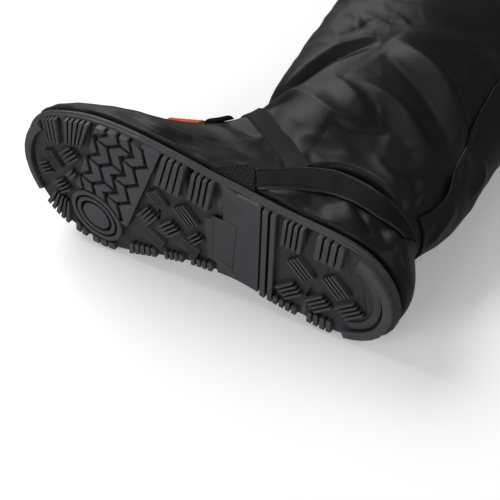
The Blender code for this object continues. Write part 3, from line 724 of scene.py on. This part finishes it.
def slab(top, bottom):
    """Points and faces of a closed strip between two grids of one size."""
    rows, columns = top.shape[:2]
    count = rows * columns
    index = np.arange(count).reshape(rows, columns)
    under = index + count
    faces = []
    for grid in (index, under):
        cells = np.stack([grid[:-1, :-1], grid[1:, :-1], grid[1:, 1:], grid[:-1, 1:]], axis=2)
        faces += [tuple(cell) for cell in cells.reshape(-1, 4).tolist()]
    border = [*index[0], *index[1:, -1], *index[-1, -2::-1], *index[-2:0:-1, 0]]
    for here, after in zip(border, border[1:] + border[:1]):
        faces.append((int(here), int(after), int(after) + count, int(here) + count))
    return np.concatenate([top.reshape(-1, 3), bottom.reshape(-1, 3)]), faces


def eased(value, start, end):
    """0 before start, 1 after end, and smooth between."""
    share = np.clip((value - start) / (end - start), 0.0, 1.0)
    return share * share * (3 - 2 * share)


def strap_cloth():
    made, tree, shader = finish_of("strap_nylon", STRAP_COLOUR, roughness=0.6, gloss=0.12)
    relief(tree, shader, grain(tree, size=0.004, detail=3.0), height=0.0002)
    relief(tree, shader, grain(tree, size=0.0006, detail=1.0), height=0.00006)
    return made


def binding_tape():
    made, tree, shader = finish_of("edge_binding", BINDING_COLOUR, roughness=0.42, gloss=0.4)
    relief(tree, shader, grain(tree, size=0.0012, detail=2.0), height=0.00012)
    return made


def rolled_edge(line):
    """A closed round roll of binding along a line."""
    along = np.gradient(line, axis=0)
    along /= np.linalg.norm(along, axis=1, keepdims=True)
    aside = np.cross(along, OUTER_SIDE)
    aside /= np.linalg.norm(aside, axis=1, keepdims=True)
    over = np.cross(aside, along)
    turns = np.arange(BINDING_SIDES) * 2 * math.pi / BINDING_SIDES
    rows = np.array([
        p + BINDING_ROUND * (np.outer(np.cos(turns), a) + np.outer(np.sin(turns), o))
        for p, a, o in zip(line, aside, over)
    ])
    faces = tube_faces(len(rows), BINDING_SIDES)
    faces.append(tuple(range(BINDING_SIDES)))
    faces.append(tuple(range((len(rows) - 1) * BINDING_SIDES, len(rows) * BINDING_SIDES)))
    return rows.reshape(-1, 3), faces


strap_finish = strap_cloth()
strap_upper = through(STRAP_UPPER, STRAP_STEPS)
strap_lower = through(STRAP_LOWER, STRAP_STEPS)
strap_across = np.linspace(-1.0, 1.0, STRAP_ACROSS)
strap_bed = np.array([
    [side_cast(*(low + (high - low) * (w + 1) / 2)) for w in strap_across]
    for low, high in zip(strap_lower, strap_upper)
])
strap_out = grid_out(strap_bed, OUTER_SIDE)
strap_along = np.linspace(0.0, 1.0, len(strap_bed))[:, None]
strap_brink = np.clip(abs(strap_across) - STRAP_EDGE_FROM, 0.0, STRAP_EDGE_WIDE) / STRAP_EDGE_WIDE
strap_edge = np.sqrt(np.clip(1.0 - strap_brink**2, 0.0, 1.0))
strap_form = STRAP_THICK * (STRAP_EDGE_LEAST + STRAP_EDGE_ROUND * strap_edge)
strap_form -= STRAP_SEAM_DEEP * bell(abs(strap_across), STRAP_SEAM, STRAP_SEAM_WIDE)
strap_stand = eased(strap_along, *STAND_START) * eased(-strap_along, -STAND_END[1], -STAND_END[0])
strap_gap = STRAP_LIFT + STRAP_STAND * strap_stand * eased(strap_across, *STAND_ACROSS)
strap_wave = STRAP_WAVE * np.sin(strap_along * WAVES_ALONG) * np.cos(strap_across * WAVES_ACROSS)
strap_under = strap_bed + strap_out * strap_gap[:, :, None]
strap_top = strap_bed + strap_out * (strap_gap + strap_form + strap_wave)[:, :, None]
strap_piece = new_piece("heel_strap_bound", *slab(strap_top, strap_under), strap_finish, "strap_nylon")
binding_points = []
binding_faces = []
for edge in (0, -1):
    middle = 0.5 * (strap_top[:, edge] + strap_under[:, edge]) + BINDING_OUT * strap_out[:, edge]
    roll_points, roll_faces = rolled_edge(middle)
    binding_faces += [tuple(i + len(binding_points) for i in face) for face in roll_faces]
    binding_points += roll_points.tolist()
new_piece("strap_binding", binding_points, binding_faces, binding_tape(), "strap_nylon")
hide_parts("heel_strap")

# The hook patch is a stiff piece of hook tape at the outer waist. It is sewn on all round, down
# to the sole's edge, and its small hooks make it rough and dull.
PATCH_LOW = [(112.6, 10.9), (147.0, 10.9)]
PATCH_HIGH = [(123.3, 24.6), (127.8, 25.7)]
PATCH_THICK = 1.5
PATCH_LIFT = 0.3
PATCH_UP = 40
PATCH_ALONG = 60
HOOK_HIGH = 0.45
HOOK_COLOUR = (0.004, 0.004, 0.0044, 1.0)


def hook_tape():
    made, tree, shader = finish_of("hook_tape", HOOK_COLOUR, roughness=0.7, gloss=0.25)
    relief(tree, shader, grain(tree, size=0.0011, detail=2.0), height=0.0009)
    return made


patch_along = np.linspace(0.0, 1.0, PATCH_ALONG)
patch_bed = []
for up in np.linspace(0.0, 1.0, PATCH_UP):
    rear = np.array(PATCH_LOW[0]) * (1 - up) + np.array(PATCH_HIGH[0]) * up
    front = np.array(PATCH_LOW[1]) * (1 - up) + np.array(PATCH_HIGH[1]) * up
    patch_bed.append([side_cast(*(rear + (front - rear) * share)) for share in patch_along])
patch_bed = np.array(patch_bed)
patch_out = grid_out(patch_bed, OUTER_SIDE)
patch_hooks = HOOK_HIGH * crinkle(patch_bed.reshape(-1, 3), size=1.1, seed=5.0)
patch_form = PATCH_LIFT + PATCH_THICK + patch_hooks.reshape(patch_bed.shape[:2])
patch_top = patch_bed + patch_out * patch_form[:, :, None]
patch_under = patch_bed + PATCH_LIFT * patch_out
patch_piece = new_piece("hook_patch_tape", *slab(patch_top, patch_under), hook_tape(), "hook_tape")
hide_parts("hook_patch")

# The instep elastic is a woven band with fine ribs along it. It holds the cloth to the foot,
# from the outer side over the instep to the inner side, and its front edge is seamed.
ELASTIC_LOW = np.array([104.5, 46.5])
ELASTIC_HIGH = np.array([186.5, 94.0])
ELASTIC_HALF_LOW = 8.0
ELASTIC_HALF_HIGH = 6.2
ELASTIC_CENTRE = 24.0
ELASTIC_RIBS = 13
RIB_POINTS = 5
RIB_HIGH = 0.22
ELASTIC_THICK = 0.7
ELASTIC_LIFT = 0.15
ELASTIC_SEAM = -0.88
ELASTIC_SEAM_DEEP = 0.5
ELASTIC_SEAM_WIDE = 0.05
ELASTIC_COLOUR = (0.0062, 0.0063, 0.0068, 1.0)
ELASTIC_OUT = (0.5, 0.0, 0.5)
BAND_FAR = 200.0
BAND_SCAN = 400
BAND_STEPS = 190
BAND_ENDS = np.radians(np.arange(60.0, 150.0, 0.5))
slope = (ELASTIC_HIGH - ELASTIC_LOW) / np.linalg.norm(ELASTIC_HIGH - ELASTIC_LOW)
square = np.array([-slope[1], slope[0]])


def band_cast(angle, aside):
    """The cloth on the band's plane, moved aside, at an angle from the instep to the outer side."""
    middle = ELASTIC_LOW + slope * ELASTIC_CENTRE + square * aside
    out = Vector((math.cos(angle) * slope[0], math.sin(angle), math.cos(angle) * slope[1]))
    start = Vector((middle[0], SPINE[1], middle[1])) + BAND_FAR * out
    return np.array(cloth_tree.ray_cast(start, -out)[0])


def band_end(side):
    """The angle at which the band ends on one side."""
    for angle in BAND_ENDS:
        hit = band_cast(side * angle, 0.0)
        if (hit[[0, 2]] - ELASTIC_LOW) @ slope < 0.0:
            break
    return side * angle


def elastic():
    made, tree, shader = finish_of("ribbed_elastic", ELASTIC_COLOUR, roughness=0.6, gloss=0.2)
    relief(tree, shader, grain(tree, size=0.0008, detail=2.0), height=0.00015)
    return made


band_scan = np.linspace(band_end(-1.0), band_end(1.0), BAND_SCAN)
band_run = run_along(np.array([band_cast(angle, 0.0) for angle in band_scan]))
band_angles = np.interp(np.linspace(0.0, band_run[-1], BAND_STEPS), band_run, band_scan)
band_across = np.linspace(-1.0, 1.0, RIB_POINTS * ELASTIC_RIBS + 1)
band_bed = []
for angle in band_angles:
    share = abs(angle) / abs(band_angles[0])
    half_wide = ELASTIC_HALF_HIGH + (ELASTIC_HALF_LOW - ELASTIC_HALF_HIGH) * share
    band_bed.append([band_cast(angle, half_wide * w) for w in band_across])
band_bed = np.array(band_bed)
band_out = grid_out(band_bed, ELASTIC_OUT)
band_ribs = RIB_HIGH * np.cos(band_across * math.pi * ELASTIC_RIBS)
band_seam = -ELASTIC_SEAM_DEEP * bell(band_across, ELASTIC_SEAM, ELASTIC_SEAM_WIDE)
band_form = ELASTIC_LIFT + ELASTIC_THICK + band_ribs + band_seam
band_top = band_bed + band_out * band_form[None, :, None]
band_under = band_bed + ELASTIC_LIFT * band_out
band_piece = new_piece("instep_elastic_band", *slab(band_top, band_under), elastic(), "elastic")
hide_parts("instep_elastic")

# The back flap is a second layer of the same nylon over the back seam, from above the heel
# to the collar, with a piped outer edge. It takes the creases of the cloth under it.
FLAP_INNER = [(62, -15), (85, -17), (105, -20), (177, -26), (372, -29)]
FLAP_OUTER = [(62, 27), (73, 25), (85, 26.5), (105, 30), (138, 33), (177, 36), (372, 39)]
FLAP_LOW = 62.5
FLAP_HIGH = 372.0
FLAP_UP = 200
FLAP_ACROSS = 61
FLAP_THICK = 1.0
FLAP_LIFT = 0.6
FLAP_UNDER = 0.3
FLAP_SLACK = 0.5
FLAP_BEAD = 0.3
FLAP_BEAD_AT = 0.95
FLAP_BEAD_WIDE = 0.045
BACKWARD = (-1.0, 0.0, 0.0)
BACK_FAR = -60.0


def back_cast(y, z):
    """The cloth's back at this place of the back view."""
    return np.array(cloth_tree.ray_cast(Vector((BACK_FAR, y, z)), -Vector(BACKWARD))[0])


flap_across = np.linspace(-1.0, 1.0, FLAP_ACROSS)
flap_bed = []
for z in np.linspace(FLAP_LOW, FLAP_HIGH, FLAP_UP):
    inner_edge = np.interp(z, *zip(*FLAP_INNER))
    wide = np.interp(z, *zip(*FLAP_OUTER)) - inner_edge
    flap_bed.append([back_cast(inner_edge + wide * (w + 1) / 2, z) for w in flap_across])
flap_bed = np.array(flap_bed)
flap_out = grid_out(flap_bed, BACKWARD)
flap_points = flap_bed.reshape(-1, 3)
flap_folds = crease_height(flap_points) + FLAP_SLACK * crinkle(flap_points, size=15.0, seed=3.0)
flap_lift = np.maximum(flap_folds.reshape(flap_bed.shape[:2]), 0.0) + FLAP_LIFT
flap_bead = FLAP_BEAD * bell(abs(flap_across), FLAP_BEAD_AT, FLAP_BEAD_WIDE)
flap_top = flap_bed + flap_out * (flap_lift + FLAP_THICK + flap_bead)[:, :, None]
flap_under = flap_bed + flap_out * FLAP_UNDER
flap_mesh = slab(flap_top, flap_under)
flap_piece = new_piece("nylon_back_flap", off_the_floor(flap_mesh[0]), flap_mesh[1], nylon_finish, "nylon")
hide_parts("back_flap")

# A plain panel of orange coated cloth is sewn across the vamp and down its outer side, with
# its edge turned under all round.
PANEL_FRONT = [(205.5, 32), (212, 21), (218, 8), (220.5, -10), (221, -25), (214, -31)]
PANEL_REAR = [(187, 30.2), (190.5, 18), (194, 5), (194.4, -10), (194.5, -24), (199, -30)]
PANEL_STEPS = 12
PANEL_LONG = 33
PANEL_THICK = 0.6
PANEL_LIFT = 0.35
PANEL_UNDER = 0.2
PANEL_TURN = 2.5
PANEL_COLOUR = (0.66, 0.075, 0.012, 1.0)
PANEL_DULL = (0.58, 0.062, 0.010, 1.0)
PANEL_BRIGHT = (0.72, 0.090, 0.014, 1.0)
VAMP_OUT = (0.3, 0.0, 1.0)
DOWN = (0.0, 0.0, -1.0)
TOP_FAR = 110.0


def top_cast(x, y):
    """The top of the vamp at this place of the plan."""
    return np.array(cloth_tree.ray_cast(Vector((x, y, TOP_FAR)), Vector(DOWN))[0])


def turned_edge(rows, columns, margin):
    """1 inside a sheet of this many points, and round down to 0 over its margin."""
    def side(count):
        step = np.minimum(np.arange(count), np.arange(count)[::-1]) / margin
        return np.sqrt(np.clip(1.0 - (1.0 - np.clip(step, 0.0, 1.0)) ** 2, 0.0, 1.0))
    return np.minimum(side(rows)[:, None], side(columns)[None, :])


def coated_panel():
    made, tree, shader = finish_of("orange_panel", PANEL_COLOUR, roughness=0.5, gloss=0.3)
    worn = grain(tree, size=0.01, detail=4.0)
    tree.links.new(tint(tree, worn, PANEL_DULL, PANEL_BRIGHT), shader.inputs["Base Color"])
    relief(tree, shader, grain(tree, size=0.0007, detail=2.0), height=0.00008)
    return made


panel_front = through(PANEL_FRONT, PANEL_STEPS)
panel_rear = through(PANEL_REAR, PANEL_STEPS)
panel_bed = np.array([
    [top_cast(*(rear + (front - rear) * share)) for share in np.linspace(0.0, 1.0, PANEL_LONG)]
    for front, rear in zip(panel_front, panel_rear)
])
panel_out = grid_out(panel_bed, VAMP_OUT)
panel_form = PANEL_LIFT + PANEL_THICK * turned_edge(*panel_bed.shape[:2], PANEL_TURN)
panel_top = panel_bed + panel_out * panel_form[:, :, None]
panel_under = panel_bed + PANEL_UNDER * panel_out
panel_piece = new_piece("vamp_panel_orange", *slab(panel_top, panel_under), coated_panel(), "trim")
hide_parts("vamp_panel")

# Behind the panel a short tab of the strap's nylon is folded double and sewn in, so that its
# fold stands up.
TAB_OUTER = [(184.5, 30), (176, 26)]
TAB_INNER = [(188, 19), (178.5, 15)]
TAB_WIDE = 18
TAB_LONG = 24
TAB_THICK = 2.0
TAB_LIFT = 0.5
TAB_UNDER = 0.4
TAB_TURN = 3.0
TAB_STAND = 1.3
TAB_BEND = 1.4
tab_along = np.linspace(0.0, 1.0, TAB_LONG)
tab_front = np.linspace(TAB_OUTER[0], TAB_INNER[0], TAB_WIDE)
tab_rear = np.linspace(TAB_OUTER[1], TAB_INNER[1], TAB_WIDE)
tab_bed = np.array([
    [top_cast(*(front * (1 - share) + rear * share)) for share in tab_along]
    for front, rear in zip(tab_front, tab_rear)
])
tab_out = grid_out(tab_bed, VAMP_OUT)
tab_rise = TAB_LIFT + TAB_STAND * tab_along[None, :] ** TAB_BEND
tab_form = TAB_THICK * turned_edge(*tab_bed.shape[:2], TAB_TURN)
tab_top = tab_bed + tab_out * (tab_rise + tab_form)[:, :, None]
tab_under = tab_bed + tab_out * (tab_rise - TAB_UNDER)[:, :, None]
tab_piece = new_piece("vamp_tab_folded", *slab(tab_top, tab_under), strap_finish, "strap_nylon")
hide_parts("vamp_tab")

# The seams are sewn with black polyester thread, the panel's with orange, in one row or in two
# at the collar's hem and at the strap's end. Each stitch lies half in the cloth.
STITCH_LONG = 2.3
STITCH_PITCH = 3.1
STITCH_ROUND = 0.32
STITCH_SIDES = 6
#   how far along a stitch, and how thick it is there
STITCH_FORM = [(0.0, 0.35), (0.2, 0.9), (0.5, 1.0), (0.8, 0.9), (1.0, 0.35)]
ASKEW = [0.31, 0.62, 0.72]
HEM_SEAMS = (3.0, 6.0)
#   seams by the rows or columns of points that they follow
STRAP_END_SEAMS = (4, 10)
STRAP_END_IN = 5
FLAP_SEAMS = (3, -5)
ELASTIC_SEAMS = (4, -5)
SEAM_IN = 3
BLACK_THREAD = (0.010, 0.0101, 0.0108, 1.0)
ORANGE_THREAD = (0.55, 0.085, 0.01, 1.0)


def sewing_thread(name, colour):
    made, tree, shader = finish_of(name, colour, roughness=0.55, gloss=0.2)
    relief(tree, shader, grain(tree, size=0.0004, detail=2.0), height=0.00008)
    return made


def stitch(start, end):
    """Points and faces of one stitch, thick in its middle and thin at its ends."""
    along = (end - start) / np.linalg.norm(end - start)
    side = np.cross(along, ASKEW)
    side /= np.linalg.norm(side)
    third = np.cross(along, side)
    points = []
    for share, thick in STITCH_FORM:
        centre = start * (1 - share) + end * share
        for turn_by in np.arange(STITCH_SIDES) * 2 * math.pi / STITCH_SIDES:
            reach = math.cos(turn_by) * side + math.sin(turn_by) * third
            points.append(centre + STITCH_ROUND * thick * reach)
    last = len(points) - STITCH_SIDES
    ends = [tuple(range(STITCH_SIDES)), tuple(range(last, len(points)))]
    return points, ends + tube_faces(len(STITCH_FORM), STITCH_SIDES)


def stitched(line, closed):
    """Points and faces of a row of stitches along a line of points."""
    if closed:
        line = np.vstack([line, line[:1]])
    run = run_along(line)
    points = []
    faces = []
    for middle in np.arange(STITCH_PITCH, run[-1] - STITCH_PITCH / 2, STITCH_PITCH):
        start, end = [
            np.array([np.interp(middle + step, run, line[:, axis]) for axis in range(3)])
            for step in (-STITCH_LONG / 2, STITCH_LONG / 2)
        ]
        stitch_points, stitch_faces = stitch(start, end)
        faces += [tuple(len(points) + i for i in face) for face in stitch_faces]
        points += stitch_points
    return points, faces


def sewn(name, lines, material, slot, closed=False):
    """One piece of all the rows of stitches along these lines."""
    points = []
    faces = []
    for line in lines:
        row_points, row_faces = stitched(line, closed)
        faces += [tuple(len(points) + i for i in face) for face in row_faces]
        points += row_points
    return new_piece(name, off_the_floor(points), faces, material, slot)


def inside(grid, margin):
    """The closed line that runs this many points inside a grid's edge."""
    part = grid[margin:-margin, margin:-margin]
    return np.vstack([part[0], part[1:, -1], part[-1, -2::-1], part[-2:0:-1, 0]])


def nearest(values, wanted):
    """The index of the value that is nearest to the wanted one."""
    return int(np.abs(values - wanted).argmin())


black_thread = sewing_thread("black_thread", BLACK_THREAD)
orange_thread = sewing_thread("orange_thread", ORANGE_THREAD)
hem_lines = [outer[nearest(outer[:, 0, 2], COLLAR - HEM_DEEP + up)] for up in HEM_SEAMS]
sewn("hem_stitches", hem_lines, black_thread, "nylon", closed=True)
strap_lines = [strap_top[:, nearest(strap_across, w)] for w in (-STRAP_SEAM, STRAP_SEAM)]
sewn("strap_stitches", strap_lines, black_thread, "strap_nylon")
strap_end_lines = [strap_top[row, STRAP_END_IN:-STRAP_END_IN] for row in STRAP_END_SEAMS]
sewn("strap_end_stitches", strap_end_lines, black_thread, "strap_nylon")
sewn("flap_stitches", [flap_top[:, column] for column in FLAP_SEAMS], black_thread, "nylon")
sewn("patch_stitches", [inside(patch_top, SEAM_IN)], black_thread, "hook_tape", closed=True)
sewn("elastic_stitches", [band_top[row] for row in ELASTIC_SEAMS], black_thread, "elastic")
sewn("panel_stitches", [inside(panel_top, SEAM_IN)], orange_thread, "trim", closed=True)

# Floor, light and camera: a pale studio floor that glows a little, four soft boxes, and the
# camera at the photograph's angle, rolled as the shoe lies.
FLOOR_SIDE = 30.0
CAMERA_AZIMUTH = math.radians(47.04)
CAMERA_ELEVATION = math.radians(41.99)
CAMERA_ROLL = math.radians(-15.53)
CAMERA_AIM = Vector((0.0767, -0.2220, 0.0878))
CAMERA_DISTANCE = 1.031
CAMERA_LENS = 117.38
CAMERA_SENSOR = 36.0
FLOOR_COLOUR = (0.92, 0.92, 0.92, 1.0)
FLOOR_GLOW = 0.2
WHITE = (1.0, 1.0, 1.0, 1.0)
SKY = 0.2

floor_mesh = bpy.data.meshes.new("studio_floor")
half = FLOOR_SIDE / 2
floor_corners = [(-half, -half, 0), (half, -half, 0), (half, half, 0), (-half, half, 0)]
floor_mesh.from_pydata(floor_corners, [], [(0, 1, 2, 3)])
floor = bpy.data.objects.new("studio_floor", floor_mesh)
bpy.context.scene.collection.objects.link(floor)
floor_finish, _, floor_shader = finish_of("pale_floor", FLOOR_COLOUR, roughness=0.9, gloss=0.1)
floor_shader.inputs["Emission Color"].default_value = WHITE
floor_shader.inputs["Emission Strength"].default_value = FLOOR_GLOW
floor_mesh.materials.append(floor_finish)
floor.visible_glossy = False

#   name, place, aim, size, watts
LIGHTS = [
    ("key_box", (-1.5, 0.35, 2.0), (0.0, -0.05, 0.05), 1.5, 42.0),
    ("fill_box", (-0.4, -2.4, 1.0), (0.0, -0.1, 0.05), 2.2, 34.0),
    ("rear_box", (1.9, -0.2, 1.2), (0.05, -0.1, 0.05), 1.2, 8.0),
    ("back_box", (-1.7, 1.6, 0.9), (-0.05, -0.1, 0.06), 1.2, 8.0),
]
for name, place, aim, size, watts in LIGHTS:
    lamp = bpy.data.lights.new(name, "AREA")
    lamp.shape = "SQUARE"
    lamp.size = size
    lamp.energy = watts
    box = bpy.data.objects.new(name, lamp)
    box.location = place
    box.rotation_euler = (Vector(aim) - Vector(place)).to_track_quat("-Z", "Y").to_euler()
    bpy.context.scene.collection.objects.link(box)

world = bpy.data.worlds.new("studio")
world.use_nodes = True
world.node_tree.nodes["Background"].inputs["Color"].default_value = WHITE
world.node_tree.nodes["Background"].inputs["Strength"].default_value = SKY
bpy.context.scene.world = world
bpy.context.scene.view_settings.view_transform = "Standard"

back = Vector((
    math.sin(CAMERA_AZIMUTH) * math.cos(CAMERA_ELEVATION),
    -math.cos(CAMERA_AZIMUTH) * math.cos(CAMERA_ELEVATION),
    math.sin(CAMERA_ELEVATION),
))
level_right = Vector((math.cos(CAMERA_AZIMUTH), math.sin(CAMERA_AZIMUTH), 0.0))
level_up = back.cross(level_right)
right = level_right * math.cos(CAMERA_ROLL) + level_up * math.sin(CAMERA_ROLL)
camera_data = bpy.data.cameras.new("photo_camera")
camera_data.lens = CAMERA_LENS
camera_data.sensor_width = CAMERA_SENSOR
camera = bpy.data.objects.new("photo_camera", camera_data)
facing = np.eye(4)
facing[:3, 0] = right
facing[:3, 1] = back.cross(right)
facing[:3, 2] = back
facing[:3, 3] = CAMERA_AIM + CAMERA_DISTANCE * back
camera.matrix_world = Matrix(facing.tolist())
bpy.context.scene.collection.objects.link(camera)
bpy.context.scene.camera = camera
